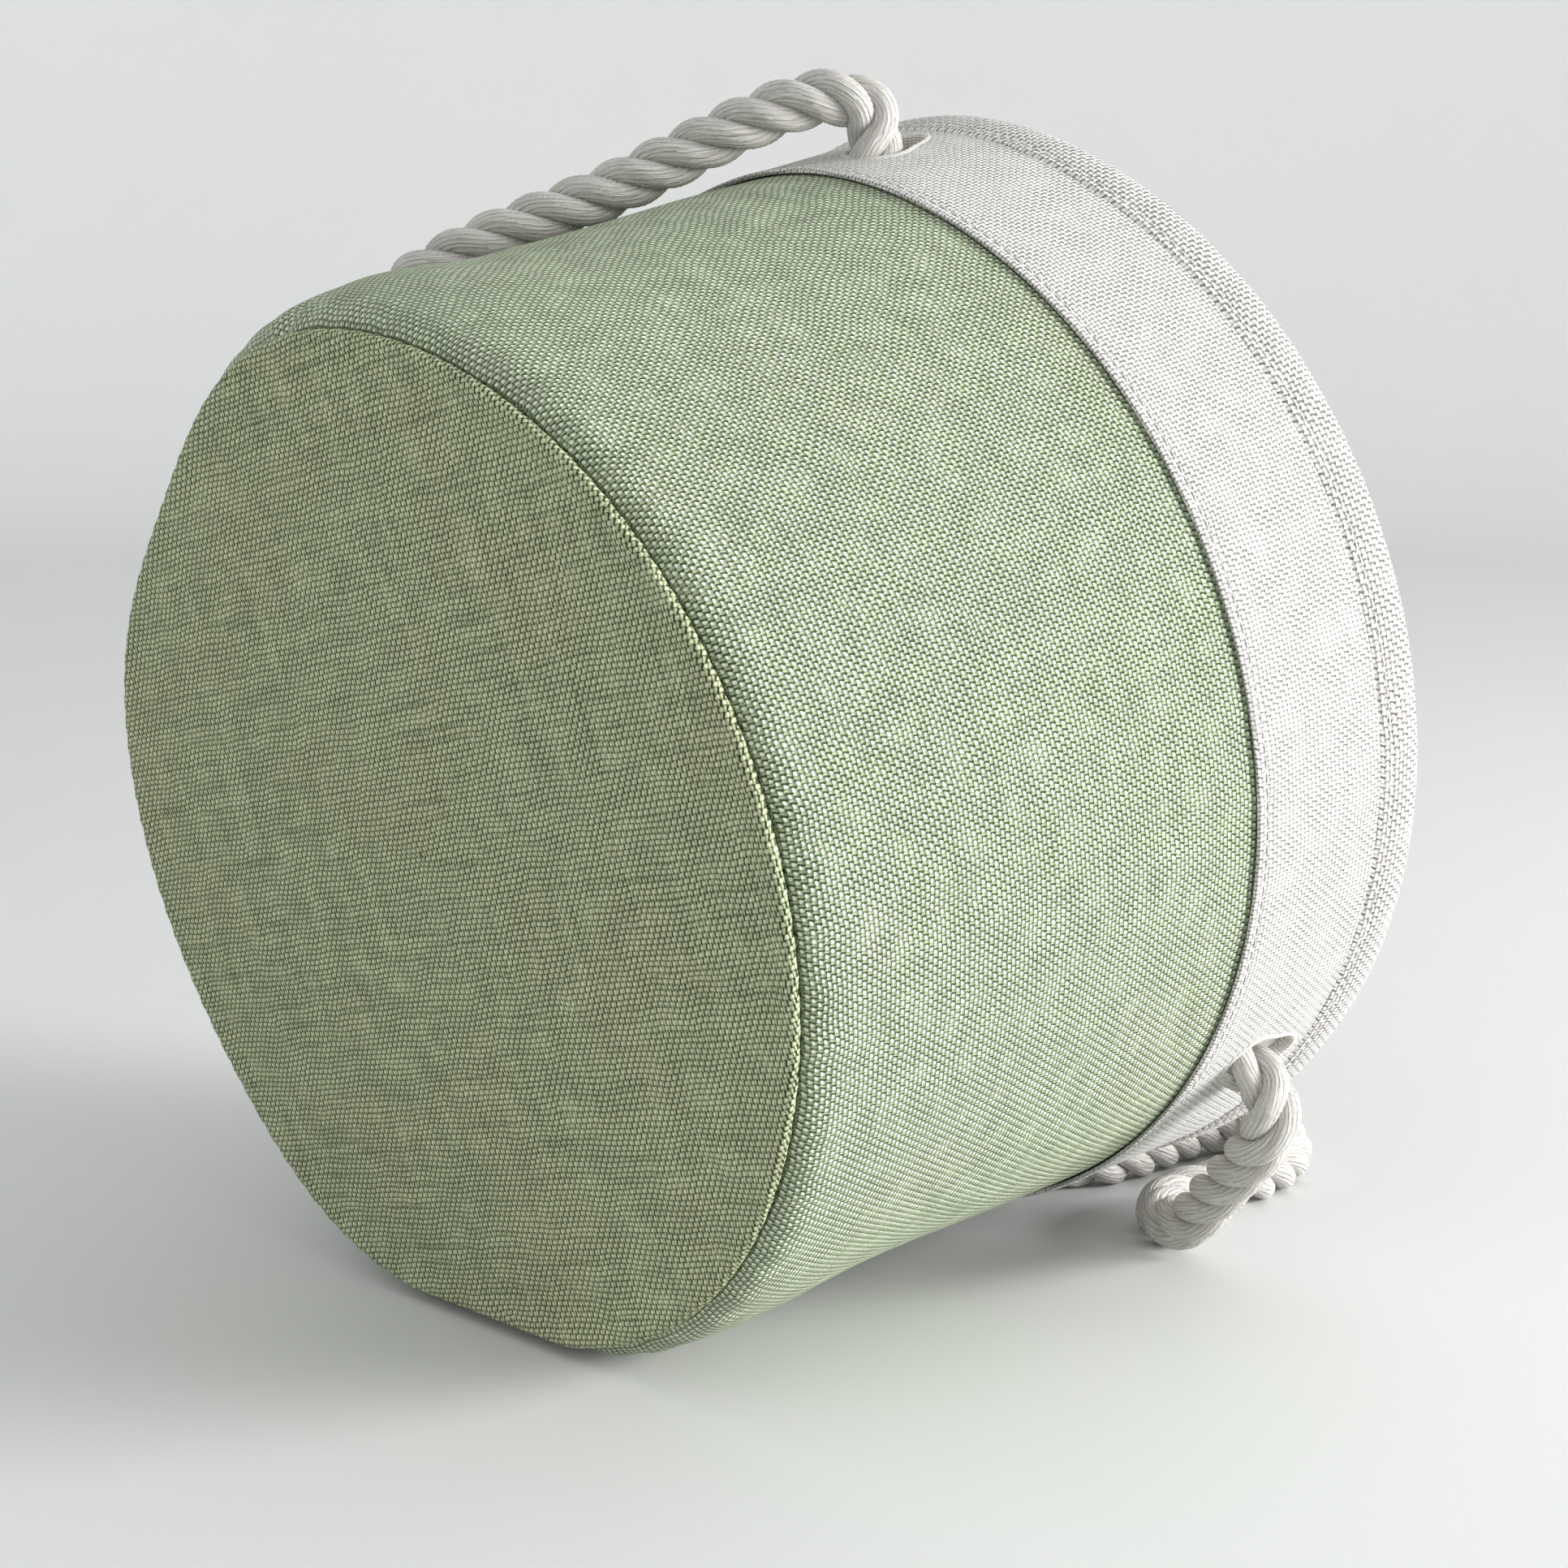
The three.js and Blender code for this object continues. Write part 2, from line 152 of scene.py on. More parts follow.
def rope_line(stops):
    """Centripetal Catmull-Rom curve through the stops, as the part draws it."""
    stops = np.asarray(stops)
    padded = np.concatenate([[2 * stops[0] - stops[1]], stops, [2 * stops[-1] - stops[-2]]])
    runs = []
    for p0, p1, p2, p3 in zip(padded, padded[1:], padded[2:], padded[3:]):
        d0, d1, d2 = (math.sqrt(np.linalg.norm(b - a)) for a, b in ((p0, p1), (p1, p2), (p2, p3)))
        t1 = ((p1 - p0) / d0 - (p2 - p0) / (d0 + d1) + (p2 - p1) / d1) * d1
        t2 = ((p2 - p1) / d1 - (p3 - p1) / (d1 + d2) + (p3 - p2) / d2) * d1
        t = np.linspace(0, 1, 12, endpoint=False)[:, None]
        bend = (2 * p1 - 2 * p2 + t1 + t2) * t**3 + (3 * p2 - 3 * p1 - 2 * t1 - t2) * t**2
        runs.append(bend + t1 * t + p1)
    return np.concatenate([*runs, stops[-1:]])


def eased(line, rounds):
    """The line with its corners softened, and its ends where they were."""
    line = line.copy()
    for _ in range(rounds):
        line[1:-1] += 0.5 * ((line[:-2] + line[2:]) / 2 - line[1:-1])
    return line


def sheet_faces(rows, columns, flip=False):
    """Quads of a grid whose points run along its columns first."""
    corner = np.arange(rows * columns).reshape(rows, columns)[:-1, :-1].ravel()
    faces = np.stack([corner, corner + columns, corner + columns + 1, corner + 1], axis=1)
    return faces[:, ::-1] if flip else faces


def add_piece(name, points, faces, uvs, material, nodes=(), body="bin"):
    """A smooth mesh that rides on a body and stands for the CAD nodes named."""
    points, uvs = np.asarray(points).reshape(-1, 3), np.asarray(uvs).reshape(-1, 2)
    used = np.unique(np.concatenate([np.ravel(f) for f in faces]))
    renumber = np.zeros(len(points), int)
    renumber[used] = np.arange(len(used))
    mesh = bpy.data.meshes.new(name)
    polygons = [polygon for group in faces for polygon in renumber[group].tolist()]
    mesh.from_pydata(points[used].tolist(), [], polygons)
    corner = np.empty(len(mesh.loops), np.int32)
    mesh.loops.foreach_get("vertex_index", corner)
    mesh.uv_layers.new(name="cloth").data.foreach_set("uv", uvs[used][corner].ravel())
    mesh.shade_smooth()
    mesh.materials.append(material)
    piece = bpy.data.objects.new(name, mesh)
    bpy.context.scene.collection.objects.link(piece)
    if body:
        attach(piece, body)
    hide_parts(*nodes)
    return piece


# ---- materials ----

SAGE_THREADS = (0.00094, 0.00117)
TAPE_THREADS = (0.00110, 0.00125)
LINING_THREADS = (0.00060, 0.00062)
STRAND_RADIUS = 0.0029
YARNS = 17
YARN_WIDTH = 2 * math.pi * STRAND_RADIUS / YARNS


class Finish:
    """A material's node tree, with short calls for the nodes that the finishes below share."""

    def __init__(self, name, roughness, sheen=0.0, sheen_tint=(1, 1, 1)):
        self.material = bpy.data.materials.new(name)
        self.material.use_nodes = True
        self.tree = self.material.node_tree
        self.shader = next(n for n in self.tree.nodes if n.type == "BSDF_PRINCIPLED")
        self.shader.inputs["Roughness"].default_value = roughness
        self.shader.inputs["Specular IOR Level"].default_value = 0.25
        self.shader.inputs["Sheen Weight"].default_value = sheen
        self.shader.inputs["Sheen Roughness"].default_value = 0.5
        self.shader.inputs["Sheen Tint"].default_value = (*sheen_tint, 1)
        self.uv = self.node("ShaderNodeUVMap", uv_map="cloth").outputs["UV"]

    def node(self, kind, **settings):
        made = self.tree.nodes.new(kind)
        for key, value in settings.items():
            setattr(made, key, value)
        return made

    def feed(self, socket, value):
        if isinstance(value, bpy.types.NodeSocket):
            self.tree.links.new(value, socket)
        else:
            socket.default_value = value

    def math(self, operation, a, b=0.0, clamp=False):
        made = self.node("ShaderNodeMath", operation=operation, use_clamp=clamp)
        self.feed(made.inputs[0], a)
        self.feed(made.inputs[1], b)
        return made.outputs[0]

    def wave(self, value):
        """A sine that changes sign at each whole number."""
        return self.math("SINE", self.math("MULTIPLY", value, math.pi))

    def scaled(self, vector, scale, turn=0.0):
        made = self.node("ShaderNodeMapping")
        made.inputs["Scale"].default_value = scale
        made.inputs["Rotation"].default_value = (0, 0, turn)
        self.feed(made.inputs["Vector"], vector)
        return made.outputs["Vector"]

    def noise(self, vector, scale, detail=2.0):
        made = self.node("ShaderNodeTexNoise")
        self.feed(made.inputs["Vector"], vector)
        made.inputs["Scale"].default_value = scale
        made.inputs["Detail"].default_value = detail
        return made.outputs["Fac"]

    def ramp(self, value, low, high, to_low=0.0, to_high=1.0):
        made = self.node("ShaderNodeMapRange")
        self.feed(made.inputs["Value"], value)
        limits = {"From Min": low, "From Max": high, "To Min": to_low, "To Max": to_high}
        for key, number in limits.items():
            made.inputs[key].default_value = number
        return made.outputs["Result"]

    def mix(self, share, a, b, blend="MIX"):
        made = self.node("ShaderNodeMix", data_type="RGBA", blend_type=blend)
        self.feed(made.inputs[0], share)
        self.feed(made.inputs[6], (*a, 1) if isinstance(a, tuple) else a)
        self.feed(made.inputs[7], (*b, 1) if isinstance(b, tuple) else b)
        return made.outputs[2]

    def shade(self, colour, value):
        """The colour times a value that varies over the surface."""
        grey = self.node("ShaderNodeCombineColor")
        for channel in grey.inputs:
            self.feed(channel, value)
        return self.mix(1.0, colour, grey.outputs[0], "MULTIPLY")

    def finish(self, colour, height, depth, roughness=None):
        bump = self.node("ShaderNodeBump")
        bump.inputs["Strength"].default_value = 1.0
        bump.inputs["Distance"].default_value = depth
        self.feed(bump.inputs["Height"], height)
        self.feed(self.shader.inputs["Normal"], bump.outputs["Normal"])
        self.feed(self.shader.inputs["Base Color"], colour)
        if roughness is not None:
            self.feed(self.shader.inputs["Roughness"], roughness)
        return self.material


def thread_grid(look, thread, turn):
    """Coordinates that count the threads, which wander a little, and each thread's own noise."""
    wander = look.noise(look.uv, 70, 2)
    cloth = look.scaled(look.scaled(look.uv, (1, 1, 1), turn), (1 / thread[0], 1 / thread[1], 1))
    split = look.node("ShaderNodeSeparateXYZ")
    look.feed(split.inputs[0], cloth)
    x = look.math("ADD", split.outputs[0], look.ramp(wander, 0.3, 0.7, -0.45, 0.45))
    y = look.math("ADD", split.outputs[1], look.ramp(wander, 0.3, 0.7, 0.4, -0.4))
    warp_yarn = look.noise(look.scaled(cloth, (0.9, 0.03, 1)), 1, 3)
    weft_yarn = look.noise(look.scaled(cloth, (0.035, 0.9, 1)), 1, 3)
    return x, y, warp_yarn, weft_yarn


def plain_weave(look, x, y, warp_yarn, weft_yarn, slub):
    """The weave's height, and how far the weft thread is the upper one at each spot."""
    column = look.wave(x)
    row = look.wave(y)
    crossing = look.math("MULTIPLY", column, row)
    warp = look.math("ADD", look.math("ABSOLUTE", column), crossing)
    weft = look.math("SUBTRACT", look.math("ABSOLUTE", row), crossing)
    warp = look.math("MULTIPLY", warp, look.ramp(warp_yarn, 0.3, 0.7, 1 - slub, 1 + slub))
    weft = look.math("MULTIPLY", weft, look.ramp(weft_yarn, 0.3, 0.7, 1 - 1.3 * slub, 1 + 1.3 * slub))
    height = look.math("MULTIPLY", look.math("MAXIMUM", warp, weft), 0.5)
    return height, look.ramp(look.math("SUBTRACT", weft, warp), -0.25, 0.25)


def dashed(look, x, y, height, yarn, slot_dent_and_shade):
    """The weave's height with a leaning slot dented in beside each warp crossing, and how much of each
    spot is slot, which woven paints towards the gap colour as painted shadow.
    """
    leaning = look.math("MULTIPLY", look.math("SUBTRACT", look.math("FRACT", y), 0.5), 0.5)
    slot_x = look.math("ADD", x, leaning)
    in_slot = look.math("MULTIPLY", look.wave(look.math("ADD", slot_x, 0.3)), look.wave(y))
    narrow = look.math("ABSOLUTE", look.wave(slot_x))
    shaded_slots = look.math("MULTIPLY", look.ramp(in_slot, -0.1, 0.2), look.ramp(narrow, 0.85, 0.2))
    # Painted shadow: how dark each slot is painted, patchy and following the warp yarn; the same amount
    # dents it.
    patchy = look.ramp(look.noise(look.uv, 150, 4), 0.35, 0.65, 0.35, 1.45)
    dent_and_shade = look.math("MULTIPLY", patchy, look.ramp(yarn, 0.3, 0.6, 0.5 * slot_dent_and_shade, slot_dent_and_shade))
    shaded_slots = look.math("MULTIPLY", shaded_slots, dent_and_shade, clamp=True)
    return look.math("SUBTRACT", height, look.math("MULTIPLY", shaded_slots, 0.4)), shaded_slots


def dyed(look, colour, yarn, mottle, drift):
    """The colour with each thread a little lighter or darker, and patches browner or greener."""
    patch = look.math("MULTIPLY", look.math("ADD", yarn, look.noise(look.uv, 130, 4)), 0.6)
    colour = look.shade(colour, look.ramp(patch, 0.4, 0.8, 1 - mottle, 1 + mottle))
    tone = look.ramp(look.noise(look.uv, 24, 3), 0.3, 0.7)
    browner = (1 + drift, 1 - drift / 4, 1 - drift)
    greener = (1 - drift, 1 + drift / 4, 1 - drift / 2)
    return look.mix(1.0, colour, look.mix(tone, browner, greener), "MULTIPLY")


def woven(name, warp, weft, gap, thread, depth, slub, mottle, turn=0.0, slot_dent_and_shade=0.0, drift=0.0):
    """Plain weave: warp threads run up, weft threads run round, and they pass over in turn.

    Warp and weft are the threads' colours, and thread gives the two pitches. Gap is painted shade:
    the colour laid in the low spots between the threads, and in the leaning slot beside each place
    where a warp thread comes up, as the shadow a weft thread casts there. Slub is how uneven the
    threads' sizes are, and mottle their tones. The slot's dent-and-shade strength sets how deep that
    slot is dented and how dark its painted shadow, and drift is how far the dye wanders in tone.
    """
    look = Finish(name, 0.85, sheen=0.25, sheen_tint=weft)
    x, y, warp_yarn, weft_yarn = thread_grid(look, thread, turn)
    height, weft_up = plain_weave(look, x, y, warp_yarn, weft_yarn, slub)
    fibre = look.noise(look.uv, 2600, 3)
    # Weft floats take the weft colour. In the wall's sage weave that colour is painted highlight: far
    # lighter than the warp, where the key light would catch the floats.
    colour = look.shade(look.mix(weft_up, warp, weft), look.ramp(fibre, 0.25, 0.75, 0.86, 1.14))
    height, shaded_slots = dashed(look, x, y, height, warp_yarn, slot_dent_and_shade)
    # Painted shade: the colour goes to the gap colour where the weave is low, between the threads.
    depth_share = look.ramp(height, 0.10, 0.60)
    # Painted shadow: each slot takes the gap colour, as the shade a weft thread casts beside the warp
    # crossing.
    colour = look.mix(shaded_slots, look.mix(depth_share, gap, colour), gap)
    colour = dyed(look, colour, warp_yarn, mottle, drift)
    bumps = look.math("ADD", height, look.math("MULTIPLY", fibre, 0.12))
    return look.finish(colour, bumps, depth, look.ramp(height, 0, 1, 0.95, 0.78))


def cotton(name, light, dark):
    """Twisted yarns side by side: they and their fibres run along U, each yarn a band of V."""
    look = Finish(name, 0.9, sheen=0.35, sheen_tint=light)
    fibres = look.noise(look.scaled(look.uv, (140, 2600, 1)), 1, 4)
    fine = look.noise(look.scaled(look.uv, (350, 5200, 1)), 1, 2)
    patch = look.noise(look.uv, 90, 3)
    colour = look.mix(look.ramp(fibres, 0.3, 0.68), dark, light)
    colour = look.shade(colour, look.ramp(patch, 0.3, 0.7, 0.93, 1.06))
    colour = look.shade(colour, look.ramp(fine, 0.3, 0.7, 0.80, 1.10))
    split = look.node("ShaderNodeSeparateXYZ")
    look.feed(split.inputs[0], look.scaled(look.uv, (1, math.pi / YARN_WIDTH, 1)))
    wobble = look.ramp(look.noise(look.scaled(look.uv, (160, 500, 1)), 1, 3), 0.3, 0.7, -0.9, 0.9)
    yarns = look.math("ABSOLUTE", look.math("COSINE", look.math("ADD", split.outputs[1], wobble)))
    # Painted shade: each yarn's colour darkens towards the grooves between it and its neighbours.
    colour = look.shade(colour, look.ramp(yarns, 0.0, 0.45, 0.62, 1.0))
    bumps = look.math("ADD", look.math("ADD", fibres, fine), look.math("MULTIPLY", yarns, 0.6))
    return look.finish(colour, bumps, 0.0006)


def thread_finish(name, light, dark):
    """Sewing thread: two plies that wind round it."""
    look = Finish(name, 0.6, sheen=0.3, sheen_tint=light)
    split = look.node("ShaderNodeSeparateXYZ")
    look.feed(split.inputs[0], look.scaled(look.uv, (9000, 4000, 1)))
    plies = look.math("SINE", look.math("ADD", split.outputs[0], split.outputs[1]))
    # Painted shade: the colour goes to the dark tone where the ply bump is low, in the groove between the
    # two plies.
    share = look.ramp(plies, -0.8, 0.8)
    return look.finish(look.mix(share, dark, light), share, 0.0001)


def board_finish(name):
    """Grey pulp with lighter and darker flecks."""
    look = Finish(name, 0.8)
    flecks = look.noise(look.node("ShaderNodeTexCoord").outputs["Object"], 700, 4)
    colour = look.mix(look.ramp(flecks, 0.35, 0.65), (0.36, 0.34, 0.31), (0.48, 0.46, 0.42))
    return look.finish(colour, flecks, 0.0002)


def studio_finish(name, colour):
    """Plain matt paper, very slightly uneven."""
    look = Finish(name, 0.75)
    grain = look.noise(look.node("ShaderNodeTexCoord").outputs["Object"], 3, 2)
    return look.finish(look.shade(colour, look.ramp(grain, 0, 1, 0.99, 1.01)), grain, 0.0)


# In every weave below, the third colour is painted shade, laid between the threads and in the leaning
# slot.
# The wall's sage weave has its weft colour painted nearly white, a painted highlight of the key light on
# the weft floats.
sage = woven("sage_weave_painted_highlight", (0.37, 0.445, 0.275), (0.76, 0.80, 0.655), (0.035, 0.075, 0.018),
             SAGE_THREADS, 0.00050, slub=0.32, mottle=0.20, slot_dent_and_shade=1.25, drift=0.02)
# The base takes a shaded copy of the same sage cloth: its weft and gap colours are painted darker than
# the wall's, as painted shade for the base turned away from the key light.
sage_painted_shade_base = woven("base_sage_weave_painted_shade", (0.42, 0.46, 0.285), (0.60, 0.635, 0.43), (0.020, 0.038, 0.008),
                  SAGE_THREADS, 0.00030, slub=0.42, mottle=0.18, turn=math.radians(14), slot_dent_and_shade=1.3,
                  drift=0.035)
cream = woven("cream_canvas_weave", (0.79, 0.775, 0.75), (0.90, 0.89, 0.865), (0.22, 0.20, 0.185),
              SAGE_THREADS, 0.00045, slub=0.15, mottle=0.03, slot_dent_and_shade=0.7)
cream_tape = woven("cream_tape_weave", (0.79, 0.775, 0.75), (0.88, 0.865, 0.84), (0.20, 0.18, 0.165),
                   TAPE_THREADS, 0.00050, slub=0.12, mottle=0.03, slot_dent_and_shade=1.0)
linen = woven("lining_weave", (0.72, 0.70, 0.66), (0.78, 0.765, 0.725), (0.42, 0.40, 0.37),
              LINING_THREADS, 0.00018, slub=0.30, mottle=0.05)
rope_cotton = cotton("rope_cotton", (0.90, 0.88, 0.845), (0.64, 0.60, 0.55))
cream_thread = thread_finish("cream_thread_twist", (0.80, 0.78, 0.74), (0.52, 0.49, 0.46))
sage_thread = thread_finish("sage_thread_twist", (0.16, 0.21, 0.11), (0.05, 0.075, 0.035))
greyboard = board_finish("greyboard_pulp")

# ---- ropes ----

# Routes of the two handles at rest. The upper one's stops are an angle, a height and a lift.
UPPER_ROUTE = [
    (-7, 0.138, PIVOT_LIFT), (-6, 0.136, 0.012), (-3, 0.129, 0.0145), (2, 0.119, 0.0125),
    (8, 0.109, 0.0095), (14, 0.098, 0.0074), (19, 0.086, 0.0069), (24.5, 0.074, 0.0069),
    (31, 0.064, 0.0069), (38, 0.060, 0.0069), (45, 0.063, 0.0069), (50, 0.072, 0.0069),
    (52.5, 0.084, 0.0069), (53, 0.097, 0.0072), (52, 0.110, 0.0093), (50, 0.122, 0.0125),
    (48, 0.131, 0.0145), (47.2, 0.136, 0.012), (47, 0.138, PIVOT_LIFT),
]
LOWER_ROUTE = [
    (0.0645, -0.1045, 0.044), (0.0653, -0.1015, 0.0375), (0.0680, -0.095, 0.031),
    (0.0708, -0.088, 0.0245), (0.0736, -0.081, 0.018), (0.0764, -0.074, 0.0112),
    (0.0804, -0.065, 0.007), (0.0864, -0.0565, ROPE_FLOOR), (0.0954, -0.051, ROPE_FLOOR),
    (0.1074, -0.0505, ROPE_FLOOR), (0.1204, -0.053, ROPE_FLOOR), (0.1344, -0.052, ROPE_FLOOR),
    (0.1474, -0.046, ROPE_FLOOR), (0.1564, -0.036, ROPE_FLOOR), (0.1554, -0.025, ROPE_FLOOR),
    (0.1464, -0.020, ROPE_FLOOR), (0.1364, -0.020, ROPE_FLOOR),
]
LOWER_HELD_END = (0.1254, -0.021, ROPE_FLOOR)
PINNED_FROM = (0.1344, -0.020, ROPE_FLOOR)
UNDER_ROUTE = [
    (0.1187, -0.021, ROPE_FLOOR), (0.1104, -0.020, ROPE_FLOOR), (0.1029, -0.016, ROPE_FLOOR),
    (0.0964, -0.0095, ROPE_FLOOR), (0.0904, -0.003, ROPE_FLOOR), (0.0844, 0.0015, 0.0066),
    (0.0784, 0.0036, 0.0094), (0.0736, 0.0041, 0.014), (0.0710, 0.0042, 0.020),
]

# The lay is the length of one turn of a strand, and the reach is from the rope's middle to a
# strand's. A rope's end turns to follow its handle just outside its slit, and each end piece is cut a few
# samples past the outer of these lifts.
ROPE_STEP = 0.0009
ROPE_LAY = 0.0295
STRAND_REACH = 0.0033
STRAND_SIDES = 51
YARN_RELIEF = 0.032
EASING_ROUNDS = 14
KNOT_THICKNESS = 0.0104
KNOT_TOP = -0.0102
KNOT_STEP = 0.0012
KNOT_POINTS = 96
KNOT_ROUNDS = 1200
OFF_AXIS = 0.005
BELOW_SLIT = -0.0035
ROPE_TAIL = 0.016
BEND_START = 0.001
BEND_END = 0.010
PAST_BEND = 4
# The knot's own line takes over from the under route's last samples.
UNDER_TRIM = 8


def loose_knot():
    """An overhand knot still open, with a straight run above it and one below."""
    t = np.linspace(-2, 2, 120)
    x = 0.004 * (t**3 - 3 * t)
    y = 0.003 * (t**4 - 4 * t**2) + 0.005
    z = -0.0009 * (t**5 - 10 * t)
    return np.concatenate([[[0, 0, 0.036]], np.stack([x, y, z], axis=1), [[0, 0, -0.036]]])


def push_apart(line, step):
    """How far each point moves so that turns of the knot which touch come to lie side by side."""
    gap = line[:, None] - line[None]
    distance = np.linalg.norm(gap, axis=2)
    order = np.arange(len(line))
    apart = np.abs(order[:, None] - order[None]) * step > 1.5 * KNOT_THICKNESS
    short = np.where(apart, np.maximum(0, KNOT_THICKNESS - distance), 0)
    push = (gap * (short / np.maximum(distance, 1e-6))[..., None]).sum(axis=1)
    touching = np.maximum(1, (short > 0).sum(axis=1))[:, None]
    return 0.6 * push / touching


def bulging_part(line):
    """The first and last sample that lie away from the knot's axis."""
    bulging = np.flatnonzero(np.hypot(line[:, 0], line[:, 1]) > OFF_AXIS)
    return bulging[0], bulging[-1]


def tightened_knot():
    """Centreline of an overhand knot pulled tight, down from (0, 0, 0), with its tail."""
    line = loose_knot()
    for turn in range(KNOT_ROUNDS):
        if turn % 4 == 0:
            length = np.linalg.norm(np.diff(line, axis=0), axis=1).sum()
            line = spaced(line, length / (KNOT_POINTS - 1))[:KNOT_POINTS]
            step = length / (len(line) - 1)
        line[1:-1] += 0.45 * ((line[:-2] + line[2:]) / 2 - line[1:-1])
        line[1:-1] += push_apart(line, step)[1:-1]
    first, last = bulging_part(line)
    line[:, 2] += KNOT_TOP - line[first:last, 2].max()
    line = spaced(line, KNOT_STEP)
    first, last = bulging_part(line)
    kept = line[:last + int(ROPE_TAIL / KNOT_STEP)]
    return kept[kept[:, 2] < BELOW_SLIT]


KNOT = tightened_knot()


def knot_at(slit):
    return at_slit(slit, KNOT[:, 0], KNOT[:, 1], KNOT[:, 2])


def frames_along(line):
    """The line's directions, and two square to each, carried along without twisting."""
    ahead = np.gradient(line, axis=0)
    ahead /= np.linalg.norm(ahead, axis=1)[:, None]
    first = np.cross(ahead[0], [0.3, 0.2, 0.9])
    normal = [first / np.linalg.norm(first)]
    for direction in ahead[1:]:
        carried = normal[-1] - direction * (normal[-1] @ direction)
        normal.append(carried / np.linalg.norm(carried))
    normal = np.array(normal)
    return ahead, normal, np.cross(ahead, normal)


class Rope:
    """Three strands laid round one line. Pieces cut from it line up at their ends."""

    def __init__(self, *runs):
        self.line = spaced(eased(spaced(np.concatenate(runs), ROPE_STEP), EASING_ROUNDS), ROPE_STEP)
        self.frames = frames_along(self.line)
        steps = np.linalg.norm(np.diff(self.line, axis=0), axis=1)
        self.travel = np.concatenate([[0], np.cumsum(steps)])

    def nearest(self, point):
        return int(np.linalg.norm(self.line - np.asarray(point), axis=1).argmin())

    def strand(self, number, start, stop):
        """One strand's points, faces and fibre coordinates, closed where the rope itself ends."""
        picked = slice(start, stop + 1)
        ahead, normal, side = (f[picked, None] for f in self.frames)
        travel = self.travel[picked, None, None]
        lean = math.atan(2 * math.pi * STRAND_REACH / ROPE_LAY)
        phase = 2 * math.pi * (travel / ROPE_LAY + number / 3)
        out = np.cos(phase) * normal + np.sin(phase) * side
        along = -np.sin(phase) * normal + np.cos(phase) * side
        cross = math.cos(lean) * along - math.sin(lean) * ahead
        around = np.linspace(0, 2 * math.pi, STRAND_SIDES + 1)[None, :, None]
        untwist = travel * math.tan(lean) / STRAND_RADIUS
        radius = STRAND_RADIUS * (1 + YARN_RELIEF * np.cos(YARNS * (around + untwist)))
        middle = self.line[picked, None] + STRAND_REACH * out
        tube = middle + radius * (np.cos(around) * out + np.sin(around) * cross)
        rows, columns = tube.shape[:2]
        points = np.concatenate([tube.reshape(-1, 3), middle[[0, -1], 0]])
        fibre = np.broadcast_to(STRAND_RADIUS * (around + untwist), (rows, columns, 1))
        length = np.broadcast_to(travel + 0.1 * number, (rows, columns, 1))
        uvs = np.concatenate([length, fibre], axis=2).reshape(-1, 2)
        faces = [sheet_faces(rows, columns)]
        corner = np.arange(STRAND_SIDES)
        last = (rows - 1) * columns + corner
        centre = rows * columns + corner * 0
        if start == 0:
            faces.append(np.stack([corner + 1, corner, centre], axis=1))
        if stop == len(self.line) - 1:
            faces.append(np.stack([last, last + 1, centre + 1], axis=1))
        return points, faces, np.concatenate([uvs, np.zeros((2, 2))])

    def piece(self, name, start, stop, nodes, body):
        """The three strands from one sample to another, as one piece."""
        points, faces, uvs = [], [], []
        for number in range(3):
            offset = sum(len(p) for p in points)
            strand_points, strand_faces, strand_uvs = self.strand(number, start, stop)
            points.append(strand_points)
            faces += [offset + group for group in strand_faces]
            uvs.append(strand_uvs)
        return add_piece(name, np.concatenate(points), faces, np.concatenate(uvs), rope_cotton,
                         nodes, body)


def bend_at_slit(piece, slit):
    """The end piece's placing baked into its mesh. Where it would bend, just outside the slit, is worked
    out but not used.
    """
    start, end = at_slit(slit, 0, 0, [BEND_START, BEND_END])
    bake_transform(piece)


def upper_handle():
    """Both ends stay in their slits, and the loop between them swings."""
    outside = rope_line([place(*stop) for stop in UPPER_ROUTE])
    rope = Rope(knot_at("upper_near")[::-1], outside, knot_at("upper_far"))
    near = rope.nearest(at_slit("upper_near", 0, 0, BEND_END)) + PAST_BEND
    far = rope.nearest(at_slit("upper_far", 0, 0, BEND_END)) - PAST_BEND
    last = len(rope.line) - 1
    ends = [rope.piece("rope_upper_near_end", 0, near, ["rope_end_upper_near", "knot_upper_near"], None),
            rope.piece("rope_upper_far_end", far, last, ["rope_end_upper_far", "knot_upper_far"], None)]
    bend_at_slit(ends[0], "upper_near")
    bend_at_slit(ends[1], "upper_far")
    loop = rope.piece("rope_upper_loop", near, far, ["rope_handle_upper"], "upper_handle")


def lower_handle():
    """The rim pins one leg of this rope to the floor, and the loop up to there swings."""
    start_point = at_slit("lower_near", 0, 0, PIVOT_LIFT)
    outside = rope_line([start_point, *LOWER_ROUTE, LOWER_HELD_END])
    under = rope_line(UNDER_ROUTE)
    rope = Rope(knot_at("lower_near")[::-1], outside, under[:-UNDER_TRIM], knot_at("lower_under"))
    near = rope.nearest(at_slit("lower_near", 0, 0, BEND_END)) + PAST_BEND
    held = rope.nearest(PINNED_FROM)
    last = len(rope.line) - 1
    end = rope.piece("rope_lower_near_end", 0, near, ["rope_end_lower_near", "knot_lower_near"], None)
    bend_at_slit(end, "lower_near")
    pinned = rope.piece("rope_lower_pinned_run", held, last, ["rope_run_lower_under", "knot_lower_under"],
                        None)
    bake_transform(pinned)
    loop = rope.piece("rope_lower_loop", near, held, ["rope_handle_lower"], "lower_handle")


upper_handle()
lower_handle()

# ---- sewn layers ----

SLIT_HALF_WIDTH = 0.0067
SLIT_TIP = 0.0135
MEAN_RADIUS = 0.117
FINE = 0.00125
STITCH_PITCH = 0.0031
STITCH_POINTS = 7


